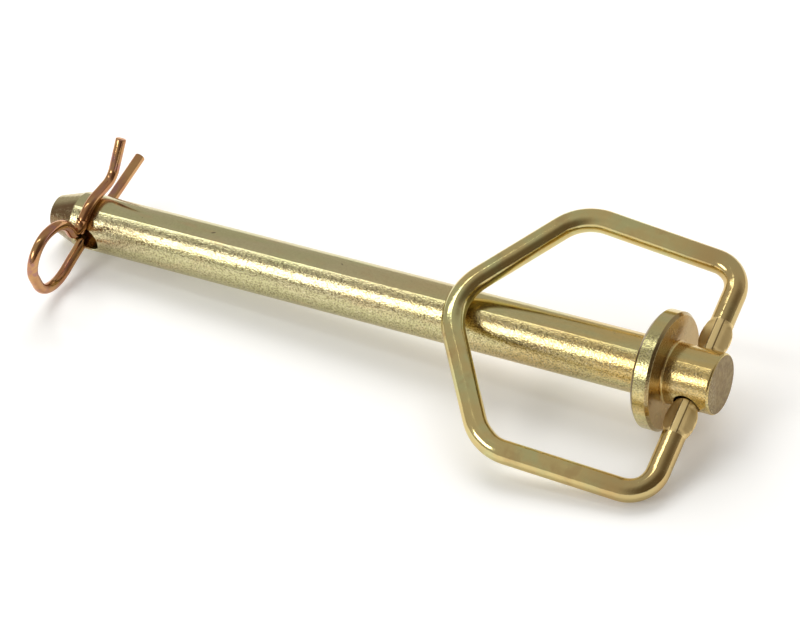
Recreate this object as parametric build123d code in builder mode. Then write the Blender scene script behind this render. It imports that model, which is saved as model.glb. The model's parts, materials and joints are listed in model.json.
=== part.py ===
"""Hitch pin: a forged pin with a collar and a cross-drilled head, a bent wire handle that swings
from the head, and a hairpin clip through the tip. Sizes are in millimetres.

The pin is drawn along +X with its hinge at the origin, its tip at +X and the handle's near side at
+Y. At the end all three pieces are laid down together, the way the pin comes to rest on a table.
"""
import os
from math import asin, atan2, cos, degrees, hypot, pi, radians, sin, tan

from build123d import *

# --- pin ---------------------------------------------------------------------------------------
shank_dia = 15.875
collar_dia = 31.75
collar_thickness = 5.05
collar_chamfer = 0.8
collar_fillet = 0.6  # where the shank and the head meet the collar's faces
head_dia = shank_dia + 0.5  # the head is upset a little thicker than the shank
head_length = 13.3
head_edge_radius = 0.7
hinge_to_collar = 6.7  # from the handle's hinge to the collar's front face
clip_hole_to_collar = 172.4  # from the collar's bearing face to the clip's hole
clip_hole_room = 4.2  # the clip's hole is this much larger than its wire, across
clip_hole_turn = 19.0  # degrees that the clip's hole is turned from the handle's hinge
hole_edge_break = 0.3
point_to_clip_hole = 5.2  # from the clip's hole to where the shank starts to taper
point_length = 8.6
point_end_dia = 10.4
point_edge_radius = 0.6

# --- handle ------------------------------------------------------------------------------------
handle_wire_dia = 6.35
hinge_slack = 0.4  # the head's hole is this much larger than the wire, all round
hinge_gap = 0.05  # the wire lies in the bottom of its hole
base_half_width = 33.8
shoulder_reach = 45.5
shoulder_half_width = 35.0
peak_reach = 70.4
base_bend_radius = 7.75
shoulder_bend_radius = 13.35
peak_bend_radius = 15.25
loop_off_centre = 1.05  # the loop was bent this much towards its near side
wire_end_gap = 3.0  # the wire's two ends stop short of each other inside the head
handle_rest_gap = 0.25  # between the loop's peak and the shank that it lies on

# --- crimps on the handle, one each side of the head ---------------------------------------------
crimp_length = 9.3
crimp_in_head = 0.7  # the pressed flats start this far inside the head's side
crimp_width = 8.3
crimp_ridge_width = 1.8  # the strip of round wire left between two pressed flats
crimp_edge = 0.7  # thickness of a crimp's wing at its edge

# --- clip --------------------------------------------------------------------------------------
clip_wire_dia = 3.0
clip_lean = 11.0  # degrees that the clip leans towards the head, about its straight leg
clip_leg_turn = 11.5  # degrees from the handle's hinge to the clip's leg
clip_arm_gap = 0.12  # between the arm's hump and the shank
leg_past_shank = 17.1
leg_off_centre = 1.4  # the leg lies this far from its hole's axis, towards the point
leg_gap = 0.08  # between the leg and the far mouth of its hole, which it leans on
clip_end_radius = 0.4

shank_r = shank_dia / 2
collar_front = hinge_to_collar
bearing_face = collar_front + collar_thickness
head_end = collar_front - head_length
clip_hole_x = bearing_face + clip_hole_to_collar
clip_hole_dia = clip_wire_dia + clip_hole_room
point_start = clip_hole_x + point_to_clip_hole
point_end = point_start + point_length
hinge_hole_dia = handle_wire_dia + 2 * hinge_slack
hinge_drop = hinge_slack - hinge_gap


def rings(edges, x, radius):
    """The round edges of this radius about the pin's axis at this distance along it."""
    return edges.filter_by(
        lambda e: e.geom_type == GeomType.CIRCLE
        and abs(e.arc_center.X - x) < 1e-3
        and abs(e.radius - radius) < 1e-3
    )


# --- the pin: one forging, turned to a point and drilled twice -----------------------------------
with BuildPart() as pin_body:
    with BuildSketch(Plane.XZ):
        with BuildLine():
            Polyline(
                (head_end, 0),
                (head_end, head_dia / 2),
                (collar_front, head_dia / 2),
                (collar_front, collar_dia / 2),
                (bearing_face, collar_dia / 2),
                (bearing_face, shank_r),
                (point_start, shank_r),
                (point_end, point_end_dia / 2),
                (point_end, 0),
                close=True,
            )
        make_face()
    revolve(axis=Axis.X)
    outline = pin_body.edges()
    collar_rims = rings(outline, collar_front, collar_dia / 2)
    collar_rims += rings(outline, bearing_face, collar_dia / 2)
    chamfer(collar_rims, collar_chamfer)
    collar_roots = rings(pin_body.edges(), collar_front, head_dia / 2)
    collar_roots += rings(pin_body.edges(), bearing_face, shank_r)
    fillet(collar_roots, collar_fillet)
    fillet(rings(pin_body.edges(), head_end, head_dia / 2), head_edge_radius)
    fillet(rings(pin_body.edges(), point_end, point_end_dia / 2), point_edge_radius)

    # the handle's hole through the head
    with BuildSketch(Plane.XZ):
        Circle(hinge_hole_dia / 2)
    extrude(amount=head_dia, both=True, mode=Mode.SUBTRACT)
    chamfer(pin_body.edges(Select.LAST).filter_by(GeomType.LINE, reverse=True), hole_edge_break)

    # the clip's hole through the shank
    hole_way = (0, cos(radians(clip_hole_turn)), sin(radians(clip_hole_turn)))
    with BuildSketch(Plane(origin=(clip_hole_x, 0, 0), x_dir=(1, 0, 0), z_dir=hole_way)):
        Circle(clip_hole_dia / 2)
    extrude(amount=shank_dia, both=True, mode=Mode.SUBTRACT)
    chamfer(pin_body.edges(Select.LAST).filter_by(GeomType.LINE, reverse=True), hole_edge_break)

# --- the crimps' wings: metal squeezed out sideways between four flats ----------------------------
crimp_start = head_dia / 2 - crimp_in_head
crimp_middle = crimp_start + crimp_length / 2
flat_section = [
    (crimp_ridge_width / 2, handle_wire_dia / 2),
    (crimp_width / 2, crimp_edge / 2),
    (crimp_width / 2, -crimp_edge / 2),
    (crimp_ridge_width / 2, -handle_wire_dia / 2),
]
flat_section += [(-x, y) for x, y in reversed(flat_section)]
peak_half_angle = atan2(shoulder_half_width, peak_reach - shoulder_reach)
peak_setback = peak_bend_radius * (1 / sin(peak_half_angle) - 1)
peak_height = shank_r + handle_wire_dia / 2 + handle_rest_gap + hinge_drop
handle_lift = asin(peak_height / (peak_reach - peak_setback))
handle_plane = Plane(
    origin=(0, 0, -hinge_drop),
    x_dir=(cos(handle_lift), 0, sin(handle_lift)),
    z_dir=(-sin(handle_lift), 0, cos(handle_lift)),
)


def across_wire(distance):
    """The plane across the handle's wire at this distance along the hinge, with the loop's own X."""
    at = handle_plane.from_local_coords((0, distance, 0))
    return Plane(origin=at, x_dir=handle_plane.x_dir, z_dir=handle_plane.y_dir)


with BuildPart() as crimp_wings:
    for side in (1, -1):
        with BuildSketch(across_wire(side * crimp_middle)):
            Polygon(*flat_section, align=None)
        extrude(amount=crimp_length / 2, both=True)
    with BuildSketch(handle_plane):
        with Locations((0, crimp_middle), (0, -crimp_middle)):
            Ellipse(crimp_width / 2, crimp_length * 0.62)
    extrude(amount=handle_wire_dia, both=True, mode=Mode.INTERSECT)

# --- the handle: one wire bent to a house shape, its ends meeting in the head ---------------------
with BuildPart() as swing_handle:
    with BuildLine(handle_plane) as loop:
        FilletPolyline(
            (0, wire_end_gap / 2),
            (0, base_half_width + loop_off_centre),
            (shoulder_reach, shoulder_half_width + loop_off_centre),
            (peak_reach, loop_off_centre),
            (shoulder_reach, loop_off_centre - shoulder_half_width),
            (0, loop_off_centre - base_half_width),
            (0, -wire_end_gap / 2),
            radius=[
                base_bend_radius,
                shoulder_bend_radius,
                peak_bend_radius,
                shoulder_bend_radius,
                base_bend_radius,
            ],
        )
    with BuildSketch(across_wire(wire_end_gap / 2)):
        Circle(handle_wire_dia / 2)
    sweep(path=loop.wire())
    for side in (1, -1):
        with BuildSketch(across_wire(side * crimp_middle)):
            Circle(handle_wire_dia)
            Polygon(*flat_section, align=None, mode=Mode.SUBTRACT)
        extrude(amount=crimp_length / 2, both=True, mode=Mode.SUBTRACT)
    add(crimp_wings.part)

# --- the clip: one spring wire, a straight leg, a loop and an arm that snaps over the shank --------
leg_way = Vector(0, cos(radians(clip_leg_turn)), sin(radians(clip_leg_turn)))
upright = Vector(0, -leg_way.Z, leg_way.Y)
arm_way = Vector(-sin(radians(clip_lean)), 0, 0) + upright * cos(radians(clip_lean))
hole_up = Vector(0, -hole_way[2], hole_way[1])
leg_skew = shank_r * tan(radians(clip_hole_turn - clip_leg_turn))
leg_lift = ((clip_hole_room / 2 - leg_gap) ** 2 - leg_off_centre**2) ** 0.5 - leg_skew
leg_point = Vector(clip_hole_x + leg_off_centre, 0, 0) + hole_up * leg_lift
clip_plane = Plane(origin=leg_point, x_dir=leg_way, z_dir=leg_way.cross(arm_way))

hump_radius = shank_r / cos(radians(clip_lean)) + clip_wire_dia / 2 + clip_arm_gap
far_tangent = radians(103)
near_tangent = radians(33)
hump_half_turn = (far_tangent - near_tangent) / 2
hump_centre = Vector(0, -leg_lift)


def on_hump(angle, radius, along):
    """A point of the arm's plane at this angle and radius from the shank, then on along the tangent."""
    return (
        hump_centre.X + radius * cos(angle) + along * sin(angle),
        hump_centre.Y + radius * sin(angle) - along * cos(angle),
    )


hump = on_hump((far_tangent + near_tangent) / 2, hump_radius / cos(hump_half_turn), 0)
bend = on_hump(far_tangent, hump_radius, -8.6)
pinch = on_hump(near_tangent, hump_radius, 3.3)
flare = (bend[0] - 7.3, bend[1] + 9.4)

with BuildPart() as hairpin_clip:
    with BuildLine(clip_plane) as bent_wire:
        FilletPolyline(
            flare,
            bend,
            hump,
            pinch,
            (shank_r + 6.1, 18.5),
            (shank_r + 26.0, 24.7),
            (shank_r + 20.3, -2.6),
            (shank_r + 1.6, 0),
            (-shank_r - leg_past_shank, 0),
            radius=[4.6, hump_radius, 3.2, 14.4, 7.3, 11.8, 60],
        )
    wire_start = bent_wire.wire()
    with BuildSketch(Plane(origin=wire_start @ 0, z_dir=wire_start % 0)):
        Circle(clip_wire_dia / 2)
    sweep(path=wire_start)
    ends = hairpin_clip.faces().filter_by(GeomType.PLANE)
    fillet(ends.edges(), clip_end_radius)

# --- laid down as it comes to rest: on the collar's rim, the shank's point and the handle's corner --
rim_x = bearing_face - collar_chamfer
pitch = atan2(collar_dia / 2 - shank_r, point_start - rim_x)
floor_level = -sin(pitch) * rim_x - cos(pitch) * collar_dia / 2


def roll_to_floor(point):
    """The roll about the pin's axis that brings the handle's wire down to the floor at this point."""
    drop = (-sin(pitch) * point.X - handle_wire_dia / 2 - floor_level) / cos(pitch)
    return atan2(point.Z, point.Y) + asin(drop / hypot(point.Y, point.Z))


near_corner = [loop.wire() @ (step / 400) for step in range(40, 120)]
roll = min(roll_to_floor(point) for point in near_corner)
pieces = [pin_body, swing_handle, hairpin_clip]
lay_down = Location((0, 0, 0), (0, degrees(pitch), 0)) * Location((0, 0, 0), (-degrees(roll), 0, 0))
for piece in pieces:
    piece.part.move(lay_down)
box = Compound(children=[Compound(piece.part.wrapped) for piece in pieces]).bounding_box()
to_origin = Location((-box.center().X, -box.center().Y, -box.min.Z))
for piece in pieces:
    piece.part.locate(to_origin * piece.part.location)

os.makedirs("parts", exist_ok=True)
pin_body.part.label = "pin_body"
export_step(pin_body.part, "parts/pin_body.step")
swing_handle.part.label = "swing_handle"
export_step(swing_handle.part, "parts/swing_handle.step")
hairpin_clip.part.label = "hairpin_clip"
export_step(hairpin_clip.part, "parts/hairpin_clip.step")
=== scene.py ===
import json
import math

import bpy
from mathutils import Euler, Matrix, Vector


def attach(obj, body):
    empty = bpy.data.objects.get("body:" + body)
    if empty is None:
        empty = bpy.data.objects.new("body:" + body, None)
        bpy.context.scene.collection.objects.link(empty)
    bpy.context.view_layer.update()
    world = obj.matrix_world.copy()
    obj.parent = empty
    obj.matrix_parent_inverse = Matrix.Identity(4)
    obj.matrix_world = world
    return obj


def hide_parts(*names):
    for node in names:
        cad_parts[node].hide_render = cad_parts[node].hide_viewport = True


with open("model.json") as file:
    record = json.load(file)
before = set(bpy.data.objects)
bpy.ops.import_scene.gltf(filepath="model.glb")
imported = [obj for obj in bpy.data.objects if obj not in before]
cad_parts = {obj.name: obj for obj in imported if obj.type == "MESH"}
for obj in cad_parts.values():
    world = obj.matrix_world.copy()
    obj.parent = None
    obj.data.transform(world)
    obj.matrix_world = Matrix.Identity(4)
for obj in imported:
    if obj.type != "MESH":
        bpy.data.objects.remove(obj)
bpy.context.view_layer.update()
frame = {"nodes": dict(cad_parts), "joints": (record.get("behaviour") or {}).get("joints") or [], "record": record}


# The pin: a steel blank forged to a collar and a head, turned to a shank and a point, drilled
# across twice, then zinc plated under a yellow chromate that leaves a satin gold, slightly green.
# It is the piece that carries the load, and the handle and the clip go through its two holes.
mounts = {mount["name"]: mount for mount in frame["record"]["mounts"]}
joints = {joint["name"]: joint for joint in frame["joints"]}
pin_along = Vector(mounts["bearing_face"]["axis"]).normalized()
pin_across = -Vector(joints["handle_swing"]["axis"]).normalized()
pin_up = pin_along.cross(pin_across)
pin_turn = Matrix((pin_along, pin_across, pin_up)).transposed()
hinge = Vector(joints["handle_swing"]["pos_m"])
HINGE_DROP = 0.00035  # the handle's wire lies this far below the middle of its hole
pin_origin = hinge + pin_up * HINGE_DROP

HEAD_END = -0.0066
COLLAR_FRONT = 0.0067
COLLAR_REAR = 0.01175
COLLAR_RADIUS = 0.015875
COLLAR_CHAMFER = 0.0008
SHANK_RADIUS = 0.0079375
POINT_START = 0.18935


class Finish:
    """A plated finish under construction: its material, its nodes and the piece's own coordinates."""

    def __init__(self, name, origin, turn):
        self.material = bpy.data.materials.new(name)
        self.material.use_nodes = True
        self.tree = self.material.node_tree
        self.shader = self.tree.nodes["Principled BSDF"]
        self.shader.inputs["Metallic"].default_value = 1.0
        self.shader.inputs["Coat Weight"].default_value = 0.18
        self.shader.inputs["Coat IOR"].default_value = 1.55
        self.shader.inputs["Coat Roughness"].default_value = 0.16
        place = self.add("ShaderNodeTexCoord").outputs["Object"]
        mapping = self.add("ShaderNodeMapping", vector_type="TEXTURE")
        mapping.inputs["Location"].default_value = origin
        mapping.inputs["Rotation"].default_value = turn.to_euler("XYZ")
        self.link(place, mapping.inputs["Vector"])
        self.place = mapping.outputs["Vector"]
        split = self.add("ShaderNodeSeparateXYZ")
        self.link(self.place, split.inputs[0])
        self.x, self.y, self.z = split.outputs
        square = self.sum(self.times(self.y, self.y), self.times(self.z, self.z))
        self.radius = self.math("POWER", square, 0.5)

    def add(self, kind, **settings):
        node = self.tree.nodes.new(kind)
        for key, value in settings.items():
            setattr(node, key, value)
        return node

    def link(self, start, end):
        self.tree.links.new(start, end)

    def fill(self, socket, value):
        if hasattr(value, "is_output"):
            self.link(value, socket)
        else:
            socket.default_value = value

    def math(self, operation, a, b=0.0):
        node = self.add("ShaderNodeMath", operation=operation)
        self.fill(node.inputs[0], a)
        self.fill(node.inputs[1], b)
        return node.outputs[0]

    def times(self, a, b):
        return self.math("MULTIPLY", a, b)

    def sum(self, a, b):
        return self.math("ADD", a, b)

    def ramp(self, value, low, high, to_low=0.0, to_high=1.0):
        """value brought from low..high to to_low..to_high, with soft ends."""
        node = self.add("ShaderNodeMapRange", interpolation_type="SMOOTHSTEP")
        self.fill(node.inputs["Value"], value)
        node.inputs["From Min"].default_value = low
        node.inputs["From Max"].default_value = high
        node.inputs["To Min"].default_value = to_low
        node.inputs["To Max"].default_value = to_high
        return node.outputs["Result"]

    def band(self, value, low, high, soft):
        """1 between low and high and 0 outside, over a soft edge."""
        rise = self.ramp(value, low - soft, low + soft)
        fall = self.ramp(value, high - soft, high + soft, 1.0, 0.0)
        return self.times(rise, fall)

    def noise(self, size, detail=2.0, roughness=0.5, along=1.0, seed=0.0):
        """Noise with grains of this size in metres, drawn out along the piece by this factor."""
        drawn_out = self.add("ShaderNodeMapping")
        drawn_out.inputs["Scale"].default_value = (1.0 / along, 1.0, 1.0)
        self.link(self.place, drawn_out.inputs["Vector"])
        node = self.add("ShaderNodeTexNoise", noise_dimensions="4D")
        self.link(drawn_out.outputs["Vector"], node.inputs["Vector"])
        node.inputs["W"].default_value = seed
        node.inputs["Scale"].default_value = 1.0 / size
        node.inputs["Detail"].default_value = detail
        node.inputs["Roughness"].default_value = roughness
        return node.outputs[0]

    def mix(self, amount, a, b):
        node = self.add("ShaderNodeMix", data_type="RGBA")
        self.fill(node.inputs[0], amount)
        self.fill(node.inputs[6], a)
        self.fill(node.inputs[7], b)
        return node.outputs[2]

    def bump(self, height, distance, under=None):
        """Relief of this height in metres, laid over the relief under it."""
        node = self.add("ShaderNodeBump")
        node.inputs["Strength"].default_value = 1.0
        node.inputs["Distance"].default_value = distance
        self.link(height, node.inputs["Height"])
        if under is not None:
            self.link(under, node.inputs["Normal"])
        return node.outputs[0]

    def finish(self, piece, colour, roughness, normal):
        self.link(colour, self.shader.inputs["Base Color"])
        self.link(roughness, self.shader.inputs["Roughness"])
        self.link(normal, self.shader.inputs["Normal"])
        piece.data.materials.clear()
        piece.data.materials.append(self.material)


pin = Finish("yellow_zinc_on_the_pin", pin_origin, pin_turn)
pin.shader.inputs["Specular Tint"].default_value = (1.0, 0.97, 0.88, 1)

head_gold = (0.69, 0.51, 0.20, 1)
middle_gold = (0.62, 0.55, 0.32, 1)
green_gold = (0.57, 0.55, 0.28, 1)
rose_gold = (0.65, 0.50, 0.27, 1)
towards_middle = pin.ramp(pin.x, 0.012, 0.12)
plating = pin.mix(towards_middle, head_gold, middle_gold)
clouds = pin.ramp(pin.noise(0.006, detail=3.0, along=5.0, seed=1.0), 0.38, 0.62, 0.0, 0.75)
blush = pin.ramp(pin.noise(0.0035, detail=3.0, along=3.0, seed=5.0), 0.54, 0.72, 0.0, 0.55)
plating = pin.mix(clouds, plating, green_gold)
plating = pin.mix(blush, plating, rose_gold)

# Bare spots and pits left from the forging
pit_brown = (0.20, 0.15, 0.10, 1)
pits = pin.ramp(pin.noise(0.0011, detail=1.0, along=1.6, seed=9.0), 0.74, 0.79)
plating = pin.mix(pin.times(pits, 0.7), plating, pit_brown)

# The collar's chamfers and the head's end keep a thicker, browner chromate
on_collar = pin.band(pin.x, COLLAR_FRONT - 0.0002, COLLAR_REAR + 0.0002, 0.0001)
rear_edge = pin.band(pin.x, COLLAR_REAR - COLLAR_CHAMFER, COLLAR_REAR - 0.0001, 0.00012)
front_edge = pin.band(pin.x, COLLAR_FRONT + 0.0001, COLLAR_FRONT + COLLAR_CHAMFER, 0.00012)
on_rim = pin.ramp(pin.radius, COLLAR_RADIUS - 0.001175, COLLAR_RADIUS - 0.000975)
front_face = pin.band(pin.x, COLLAR_FRONT - 0.0003, COLLAR_FRONT + 0.00008, 0.00004)
on_rear_edge = pin.times(rear_edge, on_rim)
on_front_edge = pin.times(front_edge, on_rim)
on_front_face = pin.times(front_face, on_collar)
dark_chromate = (0.13, 0.06, 0.025, 1)
brown_chromate = (0.30, 0.19, 0.08, 1)
amber_chromate = (0.41, 0.265, 0.11, 1)
plating = pin.mix(pin.times(on_rear_edge, 0.95), plating, dark_chromate)
plating = pin.mix(pin.times(on_front_edge, 0.75), plating, brown_chromate)
plating = pin.mix(pin.times(on_front_face, 0.85), plating, amber_chromate)

face_brown = (0.17, 0.10, 0.035, 1)
face_olive = (0.25, 0.175, 0.07, 1)
on_head_face = pin.ramp(pin.x, HEAD_END + 0.00003, HEAD_END + 0.00010, 1.0, 0.0)
mottle = pin.ramp(pin.noise(0.0012, detail=4.0, seed=31.0), 0.35, 0.65)
plating = pin.mix(pin.times(on_head_face, 0.95), plating, pin.mix(mottle, face_brown, face_olive))

# The point: a little darker gold all over, with a dark brown band painted on one side of it as a reflection
point_gold = (0.44, 0.31, 0.16, 1)
point_reflection_brown = (0.17, 0.08, 0.03, 1)
on_point = pin.ramp(pin.x, POINT_START - 0.0002, POINT_START + 0.0004)
point_side = pin.sum(pin.times(pin.y, 0.8), pin.times(pin.z, 0.6))
painted_point_reflection = pin.times(on_point, pin.ramp(point_side, 0.0022, 0.0046))
plating = pin.mix(pin.times(on_point, 0.35), plating, point_gold)
plating = pin.mix(pin.times(painted_point_reflection, 0.9), plating, point_reflection_brown)

# One side of the bar keeps the scaled skin of the forging, in its relief and in brown specks deepened as painted
# shade between the grains, with painted glints on the grains; the rest came out smoother
scale_and_glint_lean = pin.sum(pin.times(pin.y, 0.92), pin.times(pin.z, 0.38))
scale_and_glint_side = pin.ramp(scale_and_glint_lean, 0.0026, 0.0052, 0.1, 1.0)
scale_and_glint_side = pin.times(scale_and_glint_side, pin.ramp(pin.x, 0.012, 0.040, 0.85, 1.0))
beyond_shank = pin.ramp(pin.radius, SHANK_RADIUS - 0.0000375, SHANK_RADIUS + 0.0000625, 1.0, 0.8)
scale_and_glint_side = pin.times(scale_and_glint_side, beyond_shank)
scale_and_glint_side = pin.times(scale_and_glint_side, pin.math("SUBTRACT", 1.0, front_face))
# Dark specks: the scale's own brown, deepened as painted shade between its grains. Pale, nearly white specks:
# painted glints where the grains catch the light
scale_and_shade_brown = (0.22, 0.165, 0.07, 1)
painted_glint_gold = (0.97, 0.90, 0.62, 1)
grain = pin.noise(0.00042, detail=2.0, roughness=0.65, along=1.25, seed=2.0)
sparkle = pin.noise(0.00038, detail=2.0, roughness=0.65, seed=6.0)
# Where the painted shade specks and the painted glints fall
scale_and_shade_specks = pin.times(pin.ramp(grain, 0.40, 0.52, 1.0, 0.0), scale_and_glint_side)
painted_glints = pin.times(pin.ramp(sparkle, 0.53, 0.66), scale_and_glint_side)
plating = pin.mix(pin.times(scale_and_shade_specks, 0.8), plating, scale_and_shade_brown)
plating = pin.mix(pin.times(painted_glints, 0.45), plating, painted_glint_gold)

# Relief: the scale, the slow waves of the forging and the turning marks on the point
waves = pin.noise(0.0045, detail=1.0, along=2.5, seed=3.0)
turned = pin.add("ShaderNodeTexWave", wave_type="BANDS", bands_direction="X", wave_profile="SIN")
pin.link(pin.place, turned.inputs["Vector"])
turned.inputs["Scale"].default_value = 180.0
turned.inputs["Distortion"].default_value = 0.4
normal = pin.bump(pin.times(grain, scale_and_glint_side), 0.00009)
normal = pin.bump(waves, 0.00006, normal)
normal = pin.bump(pin.times(turned.outputs[1], on_point), 0.00001, normal)
roughness = pin.ramp(pin.noise(0.002, detail=3.0, along=2.0, seed=7.0), 0.3, 0.7, 0.13, 0.21)
roughness = pin.sum(roughness, pin.times(on_head_face, 0.22))
roughness = pin.sum(roughness, pin.times(on_front_face, 0.08))
pin.finish(frame["nodes"]["pin_body"], plating, roughness, normal)


# The handle: one length of drawn steel wire bent to a house shape, with its ends inside the head
# and four flats pressed into it on each side of the head, so that it swings but can't pull out.
# The wire was smooth before it was plated, so it is brighter and yellower than the pin.
HANDLE_WIRE = 0.00316  # radius
CRIMP_START = 0.0074875
CRIMP_LENGTH = 0.0093
CRIMP_WIDTH = 0.0083
CRIMP_RIDGE = 0.0018
CRIMP_EDGE = 0.0007
CRIMP_HOLLOW = 0.00012
CRIMP_END_RISE = 0.0011
CRIMP_IN_HEAD = 0.0007
CRIMP_STEPS = 30
CRIMP_LEVEL_SHARE = 0.33  # of the crimp's length, each way from its middle, where the flats are level
CRIMP_END_SHARE = 0.17  # of its length, at each end, where they rise to the wire's surface
WING_SHARE = 0.62  # of its length, each way from its middle, where the wings' arc would close
rest_lift = math.radians(10.078)
handle_turn = pin_turn @ Matrix.Rotation(-rest_lift, 3, "Y")
handle_reach = handle_turn.col[0].copy()
handle_normal = handle_turn.col[2].copy()
crimp_steps = [CRIMP_START + CRIMP_LENGTH * step / CRIMP_STEPS for step in range(CRIMP_STEPS + 1)]
handle_bends = [(0.0, 0.0015, 0.0)]
handle_bends += [(0.0, step, 0.0) for step in crimp_steps]
handle_bends += [
    (0.0, 0.03485, 0.00775),
    (0.0455, 0.03605, 0.01335),
    (0.0704, 0.00105, 0.01525),
    (0.0455, -0.03395, 0.01335),
    (0.0, -0.03275, 0.00775),
]
handle_bends += [(0.0, -step, 0.0) for step in reversed(crimp_steps)]
handle_bends += [(0.0, -0.0015, 0.0)]


def bend_wire(name, bends, origin, way, side, radius, around):
    """A round wire bent in one plane: each bend is (along way, along side, radius of the bend)."""
    points = [origin + way * along + side * beside for along, beside, _ in bends]
    first_run = (points[1] - points[0]).normalized()
    bpy.ops.object.select_all(action="DESELECT")
    turn = first_run.to_track_quat("Z", "Y").to_euler()
    bpy.ops.mesh.primitive_circle_add(
        vertices=around, radius=radius, location=points[0], rotation=turn
    )
    wire = bpy.context.object
    wire.name = name
    bpy.ops.object.transform_apply(location=True, rotation=True, scale=True)
    bpy.ops.object.mode_set(mode="EDIT")
    bpy.ops.mesh.select_mode(type="EDGE")
    bpy.ops.mesh.select_all(action="SELECT")
    here = points[0]
    for before, corner, after, bend in zip(points, points[1:], points[2:], bends[1:]):
        run_in = (corner - before).normalized()
        run_out = (after - corner).normalized()
        turn_angle = run_in.angle(run_out)
        straight_on = turn_angle < 0.001
        if straight_on:
            bpy.ops.mesh.extrude_region_move(TRANSFORM_OT_translate={"value": corner - here})
            here = corner
            continue
        setback = bend[2] * math.tan(turn_angle / 2)
        bend_start = corner - run_in * setback
        bpy.ops.mesh.extrude_region_move(TRANSFORM_OT_translate={"value": bend_start - here})
        inwards = (run_out - run_in).normalized()
        inwards = (inwards - run_in * inwards.dot(run_in)).normalized()
        centre = bend_start + inwards * bend[2]
        axis = run_in.cross(run_out).normalized()
        steps = max(3, round(math.degrees(turn_angle) / 4))
        bpy.ops.mesh.spin(steps=steps, angle=-turn_angle, center=centre, axis=axis)
        here = corner + run_out * setback
    bpy.ops.mesh.extrude_region_move(TRANSFORM_OT_translate={"value": points[-1] - here})
    bpy.ops.mesh.edge_face_add()
    bpy.ops.mesh.select_all(action="DESELECT")
    bpy.ops.mesh.select_non_manifold()
    bpy.ops.mesh.edge_face_add()
    bpy.ops.mesh.select_all(action="SELECT")
    bpy.ops.mesh.remove_doubles(threshold=0.000001)
    bpy.ops.mesh.normals_make_consistent(inside=False)
    bpy.ops.object.mode_set(mode="OBJECT")
    return wire


def crimp_reach(angle, along):
    """A crimp's outline: how far it is from the wire's centre line, at this angle round the wire."""
    across = abs(math.cos(angle)) + 1e-9
    up = abs(math.sin(angle)) + 1e-9
    from_middle = abs(along - CRIMP_START - CRIMP_LENGTH / 2)
    past_level = max(0.0, from_middle - CRIMP_LEVEL_SHARE * CRIMP_LENGTH)
    run_out = past_level / (CRIMP_END_SHARE * CRIMP_LENGTH)
    wing_arc = max(0.0, 1 - (from_middle / (WING_SHARE * CRIMP_LENGTH)) ** 2)
    wing = CRIMP_WIDTH / 2 * math.sqrt(wing_arc) / across
    fall = (HANDLE_WIRE - CRIMP_EDGE / 2) / (CRIMP_WIDTH / 2 - CRIMP_RIDGE / 2)
    flat_level = HANDLE_WIRE + fall * CRIMP_RIDGE / 2 + CRIMP_END_RISE * run_out**2
    flat = flat_level / (up + fall * across)
    hollow = CRIMP_HOLLOW * (1 - min(1.0, run_out)) * math.sin(2 * math.atan2(up, across)) ** 4
    ridge = HANDLE_WIRE / up
    # The ends stay close to the round wire, so that they pass into the head's hole
    still_round = HANDLE_WIRE + max(0.0, CRIMP_LENGTH / 2 - from_middle - CRIMP_IN_HEAD)
    return min(ridge, flat - hollow, max(HANDLE_WIRE, wing), still_round)


house_loop = bend_wire(
    "house_loop", handle_bends, hinge, handle_reach, pin_across, HANDLE_WIRE, 72
)
crimp_end = CRIMP_START + CRIMP_LENGTH
hair = 1e-6
for vertex in house_loop.data.vertices:
    from_hinge = vertex.co - hinge
    reach = from_hinge.dot(handle_reach)
    side = from_hinge.dot(pin_across)
    lift = from_hinge.dot(handle_normal)
    on_end_run = abs(reach) < 0.004
    if on_end_run and CRIMP_START - hair < abs(side) < crimp_end + hair:
        angle = math.atan2(lift, reach)
        spoke = handle_reach * math.cos(angle) + handle_normal * math.sin(angle)
        vertex.co = hinge + pin_across * side + spoke * crimp_reach(angle, abs(side))

# Shallow marks where the bending tool bit into the inside of each bend
MARK_SPREAD = 0.0034
MARK_DEPTH = 0.00022
MARK_HEIGHT = 0.0018
tool_marks = [
    (0.0046, 0.0302),
    (0.0050, -0.0281),
    (0.0415, 0.0326),
    (0.0480, -0.0262),
    (0.0640, 0.0012),
]
loop_middle = hinge + handle_reach * 0.035
for mark_reach, mark_side in tool_marks:
    in_plane = hinge + handle_reach * mark_reach + pin_across * mark_side
    mark = in_plane + handle_normal * MARK_HEIGHT
    bite_way = (mark - loop_middle).normalized()
    for vertex in house_loop.data.vertices:
        away = (vertex.co - mark).length / MARK_SPREAD
        if away < 1:
            vertex.co += bite_way * MARK_DEPTH * (1 - away**2) ** 2
bpy.ops.object.shade_smooth_by_angle(angle=math.radians(24))

handle = Finish("yellow_zinc_on_the_handle", hinge, handle_turn)
handle.shader.inputs["Specular Tint"].default_value = (1.0, 0.95, 0.82, 1)

handle_gold = (0.67, 0.53, 0.23, 1)
handle_green = (0.61, 0.57, 0.27, 1)
handle_copper = (0.53, 0.34, 0.14, 1)
clouds = handle.ramp(handle.noise(0.008, detail=3.0, seed=11.0), 0.4, 0.62)
copper = handle.ramp(handle.noise(0.006, detail=3.0, seed=15.0), 0.54, 0.7, 0.0, 0.45)
near_head = handle.ramp(handle.x, 0.008, 0.022, 0.55, 0.0)
copper = handle.math("MAXIMUM", copper, near_head)
plating = handle.mix(clouds, handle_gold, handle_green)
plating = handle.mix(copper, plating, handle_copper)
speck_brown = (0.17, 0.12, 0.08, 1)
specks = handle.ramp(handle.noise(0.0009, detail=1.0, seed=19.0), 0.76, 0.81)
plating = handle.mix(handle.times(specks, 0.65), plating, speck_brown)

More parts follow.
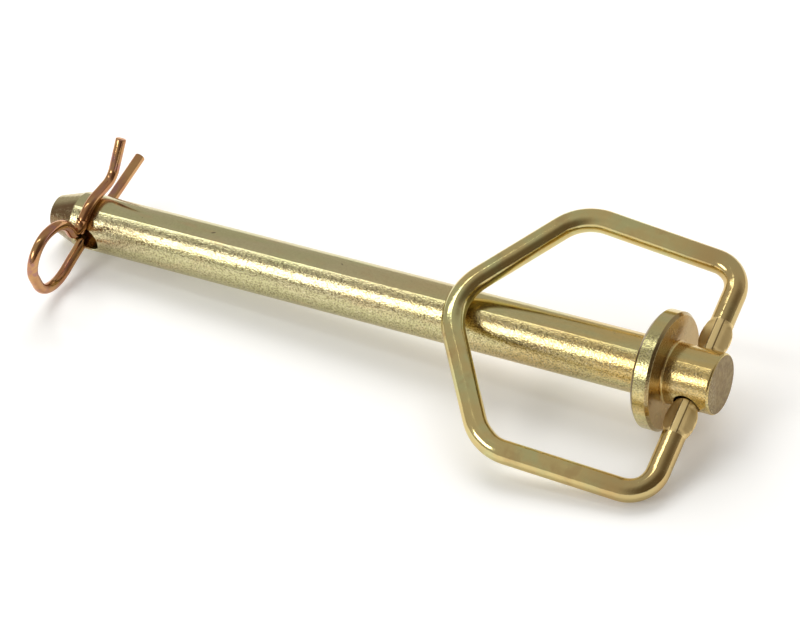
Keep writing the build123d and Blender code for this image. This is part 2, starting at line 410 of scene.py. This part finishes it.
# The crimps were pressed bright, with brown chromate along the two edges of each ridge
crimp_gold = (0.95, 0.74, 0.36, 1)
ridge_brown = (0.13, 0.07, 0.025, 1)
along_wire = handle.math("ABSOLUTE", handle.y)
from_centre_line = handle.math("ABSOLUTE", handle.x)
on_end_runs = handle.ramp(handle.x, 0.008, 0.009, 1.0, 0.0)
on_crimp = handle.times(handle.band(along_wire, CRIMP_START, crimp_end, 0.0002), on_end_runs)
ridge_edge = handle.band(
    from_centre_line, CRIMP_RIDGE / 2 - 0.00012, CRIMP_RIDGE / 2 + 0.00018, 0.00008
)
ridge_line = handle.times(ridge_edge, on_crimp)
plating = handle.mix(handle.times(on_crimp, 0.9), plating, crimp_gold)
plating = handle.mix(handle.times(ridge_line, 0.85), plating, ridge_brown)

fine = handle.noise(0.0005, detail=2.0, seed=12.0)
drawn = handle.noise(0.004, detail=2.0, seed=13.0)
normal = handle.bump(fine, 0.000012)
normal = handle.bump(drawn, 0.00007, normal)
roughness = handle.ramp(handle.noise(0.0022, detail=3.0, seed=17.0), 0.3, 0.7, 0.08, 0.16)
roughness = handle.sum(roughness, handle.times(on_crimp, 0.36))
handle.finish(house_loop, plating, roughness, normal)
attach(house_loop, "handle")
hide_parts("swing_handle")


# The clip: one hard spring wire with a straight leg through the pin, a loop for a finger and an
# arm that snaps over the shank. It is bent cold, run by run, and its two ends are cut square.
# It is the brightest piece, coppery with rose and violet patches.
CLIP_WIRE = 0.0015  # radius
CLIP_HOLE = 0.18415
LEG_OFF_CENTRE = 0.0014
LEG_LIFT = 0.00041
hole_turn = math.radians(19)
leg_turn = math.radians(11.5)
clip_lean = math.radians(11)
hole_up = pin_turn @ Vector((0, -math.sin(hole_turn), math.cos(hole_turn)))
leg_point = pin_origin + pin_along * (CLIP_HOLE + LEG_OFF_CENTRE) + hole_up * LEG_LIFT
leg_way = Vector(joints["clip_pull"]["axis"]).normalized()
upright = pin_turn @ Vector((0, -math.sin(leg_turn), math.cos(leg_turn)))
arm_way = upright * math.cos(clip_lean) - pin_along * math.sin(clip_lean)
clip_bends = [
    (-0.01786, 0.01651, 0.0),
    (-0.01056, 0.00711, 0.0046),
    (0.00444, 0.01057, 0.00971),
    (0.00994, 0.00211, 0.0032),
    (0.01404, 0.0185, 0.0144),
    (0.03394, 0.0247, 0.0073),
    (0.02824, -0.0026, 0.0118),
    (0.00954, 0.0, 0.06),
    (-0.02504, 0.0, 0.0),
]

hairpin = bend_wire("hairpin", clip_bends, leg_point, leg_way, arm_way, CLIP_WIRE, 40)
broken_edge = hairpin.modifiers.new("broken_edge", "BEVEL")
broken_edge.width = 0.00028
broken_edge.segments = 3
broken_edge.limit_method = "ANGLE"
broken_edge.angle_limit = math.radians(60)
bpy.ops.object.modifier_apply(modifier="broken_edge")
bpy.ops.object.shade_smooth_by_angle(angle=math.radians(40))

clip_turn = Matrix((leg_way, arm_way, leg_way.cross(arm_way))).transposed()
clip = Finish("yellow_zinc_on_the_clip", leg_point, clip_turn)
clip.shader.inputs["Specular Tint"].default_value = (1.0, 0.80, 0.70, 1)
clip_copper = (0.48, 0.225, 0.10, 1)
clip_gold = (0.55, 0.31, 0.13, 1)
clip_violet = (0.40, 0.19, 0.17, 1)
patches = clip.ramp(clip.noise(0.0045, detail=3.0, along=1.6, seed=21.0), 0.42, 0.62)
violets = clip.ramp(clip.noise(0.0022, detail=2.0, along=3.5, seed=25.0), 0.5, 0.66, 0.0, 0.8)
plating = clip.mix(patches, clip_copper, clip_gold)
plating = clip.mix(violets, plating, clip_violet)
streaks = clip.noise(0.0009, detail=2.0, along=8.0, seed=22.0)
normal = clip.bump(streaks, 0.00004)
roughness = clip.ramp(clip.noise(0.002, detail=2.0, seed=27.0), 0.3, 0.7, 0.08, 0.17)
clip.finish(hairpin, plating, roughness, normal)
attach(hairpin, "clip")
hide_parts("hairpin_clip")


# The studio: a sheet of white paper, a large soft light from behind, a soft box to the left and a
# long narrow tube beyond the pin, in a room that is only half as bright and darker at the head.
bpy.ops.object.select_all(action="DESELECT")
bpy.ops.mesh.primitive_plane_add(size=8, location=(0, 0, -0.0001))
paper = bpy.context.object
paper.name = "white_paper"
paper_white = bpy.data.materials.new("white_paper")
paper_white.use_nodes = True
paper_shader = paper_white.node_tree.nodes["Principled BSDF"]
paper_shader.inputs["Base Color"].default_value = (0.93, 0.93, 0.93, 1)
paper_shader.inputs["Roughness"].default_value = 1.0
paper_shader.inputs["Specular IOR Level"].default_value = 0.0
paper_shader.inputs["Emission Color"].default_value = (1, 1, 1, 1)
paper_shader.inputs["Emission Strength"].default_value = 0.16
paper.data.materials.append(paper_white)


def soft_light(name, azimuth, elevation, distance, size, radiance, colour=(1, 1, 1), roll=0.0):
    """A rectangular light of this radiance that faces the middle of the pin."""
    width, height = size
    around = Matrix.Rotation(math.radians(azimuth), 3, "Z")
    way = around @ Matrix.Rotation(-math.radians(elevation), 3, "Y") @ Vector((1, 0, 0))
    data = bpy.data.lights.new(name, "AREA")
    data.shape = "RECTANGLE"
    data.size = width
    data.size_y = height
    data.energy = radiance * math.pi * width * height
    data.color = colour
    light = bpy.data.objects.new(name, data)
    bpy.context.scene.collection.objects.link(light)
    turn = way.to_track_quat("Z", "Y").to_matrix() @ Matrix.Rotation(math.radians(roll), 3, "Z")
    place = turn.to_4x4()
    place.translation = way * distance + Vector((0, 0, 0.01))
    light.matrix_world = place
    return light


behind = soft_light("behind", -62, 50, 1.5, (1.3, 0.9), 4.2)
behind.visible_glossy = False  # it lights the paper without a long streak on the wires
soft_light("left_box", 58, 29, 1.2, (0.5, 0.36), 5.6, colour=(1.0, 0.99, 0.95))
soft_light("tube", 6, 61, 1.2, (0.8, 0.13), 3.8, colour=(0.95, 1.0, 0.97), roll=90)

room = bpy.data.worlds.new("room")
bpy.context.scene.world = room
room.use_nodes = True
room_nodes = room.node_tree.nodes
room_links = room.node_tree.links
dark_side = room_nodes.new("ShaderNodeVectorMath")
dark_side.operation = "DOT_PRODUCT"
dark_side.inputs[1].default_value = (-0.82, 0.38, 0.42)
room_links.new(room_nodes.new("ShaderNodeTexCoord").outputs["Generated"], dark_side.inputs[0])
how_dark = room_nodes.new("ShaderNodeMapRange")
how_dark.interpolation_type = "SMOOTHSTEP"
how_dark.inputs["From Min"].default_value = 0.45
how_dark.inputs["From Max"].default_value = 0.95
room_links.new(dark_side.outputs["Value"], how_dark.inputs["Value"])
room_colour = room_nodes.new("ShaderNodeMix")
room_colour.data_type = "RGBA"
room_colour.inputs[6].default_value = (0.52, 0.505, 0.475, 1)
room_colour.inputs[7].default_value = (0.15, 0.12, 0.085, 1)
room_links.new(how_dark.outputs["Result"], room_colour.inputs[0])
room_links.new(room_colour.outputs[2], room_nodes["Background"].inputs["Color"])
bpy.context.scene.view_settings.view_transform = "Standard"

lens = bpy.data.cameras.new("camera")
lens.lens = 152.55
lens.sensor_width = 36
lens.shift_x = 0.00126
lens.shift_y = 0.00027
lens.clip_start = 0.05
camera = bpy.data.objects.new("camera", lens)
bpy.context.scene.collection.objects.link(camera)
camera_angles = [math.radians(angle) for angle in (29.5979, 17.3921, -155.3793)]
camera.matrix_world = (pin_turn @ Euler(camera_angles, "XYZ").to_matrix()).to_4x4()
camera.location = pin_origin + pin_turn @ Vector((-0.31343, 0.31291, 0.74893))
bpy.context.scene.camera = camera
